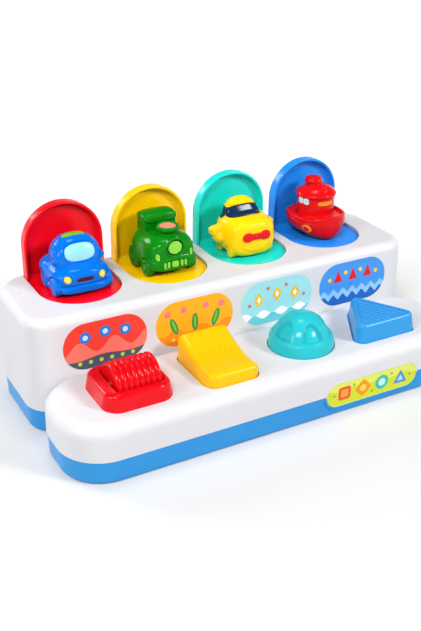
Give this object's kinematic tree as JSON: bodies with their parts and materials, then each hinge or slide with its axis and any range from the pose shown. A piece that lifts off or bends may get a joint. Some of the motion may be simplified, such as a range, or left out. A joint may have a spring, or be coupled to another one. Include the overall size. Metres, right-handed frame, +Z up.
{
  "type": "pop-up toy",
  "caption": "Stepped toy housing whose sprung lids pop up small vehicle figures when a ribbed roller, square key, twist dome or triangle key is worked.",
  "frame": {"origin": "middle of the base's underside", "axes": "+X along the row of lids, +Y to the tower's back, +Z up; the keys face -Y"},
  "size_m": [0.321, 0.165, 0.142],
  "materials": {
    "white_shell": "moulded ABS, glossy",
    "blue_base": "moulded ABS, glossy",
    "red_plastic": "moulded ABS, glossy",
    "yellow_plastic": "moulded ABS, glossy",
    "teal_plastic": "moulded ABS, glossy",
    "blue_plastic": "moulded ABS, glossy",
    "car_blue": "moulded ABS with painted details",
    "train_green": "moulded ABS with painted details",
    "plane_yellow": "moulded ABS with painted details",
    "boat_red": "moulded ABS with painted details",
    "printed_label": "printed film with plain shapes",
    "strip_label": "printed film with plain shapes",
    "inner_plastic": "moulded, unpainted",
    "steel": "zinc-plated"
  },
  "bodies": {
    "housing": {"base_tray": "blue_base", "top_shell": "white_shell", "screw_pillars": "white_shell", "hinge_blocks": "white_shell", "front_label": "strip_label", "roller_frame": "red_plastic", "roller_axle": "steel", "square_key_spring": "steel", "dome_ring": "inner_plastic", "triangle_key_spring": "steel", "guide_screws": "steel", "base_screws": "steel", "tower_label_red": "printed_label", "hinge_pin_red": "steel", "flap_spring_red": "steel", "tower_label_yellow": "printed_label", "hinge_pin_yellow": "steel", "flap_spring_yellow": "steel", "tower_label_teal": "printed_label", "hinge_pin_teal": "steel", "flap_spring_teal": "steel", "tower_label_blue": "printed_label", "hinge_pin_blue": "steel", "flap_spring_blue": "steel", "latch_spring_roller": "steel", "latch_spring_square": "steel", "latch_spring_dome": "steel", "latch_spring_triangle": "steel"},
    "roller": {"roller_drum": "red_plastic"},
    "square_key": {"square_key": "yellow_plastic"},
    "twist_dome": {"twist_dome": "teal_plastic"},
    "triangle_key": {"triangle_key": "blue_plastic"},
    "flap_red": {"flap_red": "red_plastic", "car_figure": "car_blue"},
    "flap_yellow": {"flap_yellow": "yellow_plastic", "train_figure": "train_green"},
    "flap_teal": {"flap_teal": "teal_plastic", "plane_figure": "plane_yellow"},
    "flap_blue": {"flap_blue": "blue_plastic", "boat_figure": "boat_red"},
    "latch_roller": {"latch_roller": "inner_plastic"},
    "latch_square": {"latch_square": "inner_plastic"},
    "latch_dome": {"latch_dome": "inner_plastic"},
    "latch_triangle": {"latch_triangle": "inner_plastic"}
  },
  "joints": [
    {"name": "flap_red_hinge", "type": "hinge", "parent": "housing", "child": "flap_red", "pos_m": [-0.105, 0.069, 0.083], "axis": [1, 0, 0], "range_deg": [0, 90], "stiffness_Nm_per_rad": 0.03, "springref_deg": -80.21, "deforming": ["flap_spring_red"]},
    {"name": "flap_yellow_hinge", "type": "hinge", "parent": "housing", "child": "flap_yellow", "pos_m": [-0.035, 0.069, 0.083], "axis": [1, 0, 0], "range_deg": [0, 90], "stiffness_Nm_per_rad": 0.03, "springref_deg": -80.21, "deforming": ["flap_spring_yellow"]},
    {"name": "flap_teal_hinge", "type": "hinge", "parent": "housing", "child": "flap_teal", "pos_m": [0.035, 0.069, 0.083], "axis": [1, 0, 0], "range_deg": [0, 90], "stiffness_Nm_per_rad": 0.03, "springref_deg": -80.21, "deforming": ["flap_spring_teal"]},
    {"name": "flap_blue_hinge", "type": "hinge", "parent": "housing", "child": "flap_blue", "pos_m": [0.105, 0.069, 0.083], "axis": [1, 0, 0], "range_deg": [0, 90], "stiffness_Nm_per_rad": 0.03, "springref_deg": -80.21, "deforming": ["flap_spring_blue"]},
    {"name": "roller_turn", "type": "hinge", "parent": "housing", "child": "roller", "pos_m": [-0.1025, -0.044, 0.0515], "axis": [1, 0, 0], "continuous": true},
    {"name": "square_key_press", "type": "slide", "parent": "housing", "child": "square_key", "axis": [0, 0, -1], "range_m": [0, 0.005], "stiffness_N_per_m": 300, "springref_m": -0.006, "deforming": ["square_key_spring"]},
    {"name": "triangle_key_press", "type": "slide", "parent": "housing", "child": "triangle_key", "axis": [0, 0, -1], "range_m": [0, 0.005], "stiffness_N_per_m": 300, "springref_m": -0.006, "deforming": ["triangle_key_spring"]},
    {"name": "twist_dome_turn", "type": "hinge", "parent": "housing", "child": "twist_dome", "pos_m": [0.03294, -0.044, 0.05], "axis": [0, 0, 1], "range_deg": [-25, 25], "stiffness_Nm_per_rad": 0.0113},
    {"name": "latch_roller_slide", "type": "slide", "parent": "housing", "child": "latch_roller", "axis": [1, 0, 0], "range_m": [0, 0.005], "stiffness_N_per_m": 60, "deforming": ["latch_spring_roller"]},
    {"name": "latch_square_slide", "type": "slide", "parent": "housing", "child": "latch_square", "axis": [1, 0, 0], "range_m": [0, 0.005], "stiffness_N_per_m": 60, "deforming": ["latch_spring_square"]},
    {"name": "latch_dome_slide", "type": "slide", "parent": "housing", "child": "latch_dome", "axis": [1, 0, 0], "range_m": [-0.0061, 0.0061], "deforming": ["latch_spring_dome"]},
    {"name": "latch_triangle_slide", "type": "slide", "parent": "housing", "child": "latch_triangle", "axis": [1, 0, 0], "range_m": [0, 0.005], "stiffness_N_per_m": 60, "deforming": ["latch_spring_triangle"]}
  ],
  "couplings": [
    {"joint": "latch_square_slide", "follows": "square_key_press", "ratio": 1},
    {"joint": "latch_triangle_slide", "follows": "triangle_key_press", "ratio": 1},
    {"joint": "latch_dome_slide", "follows": "twist_dome_turn", "m_per_rad": -0.0137}
  ]
}
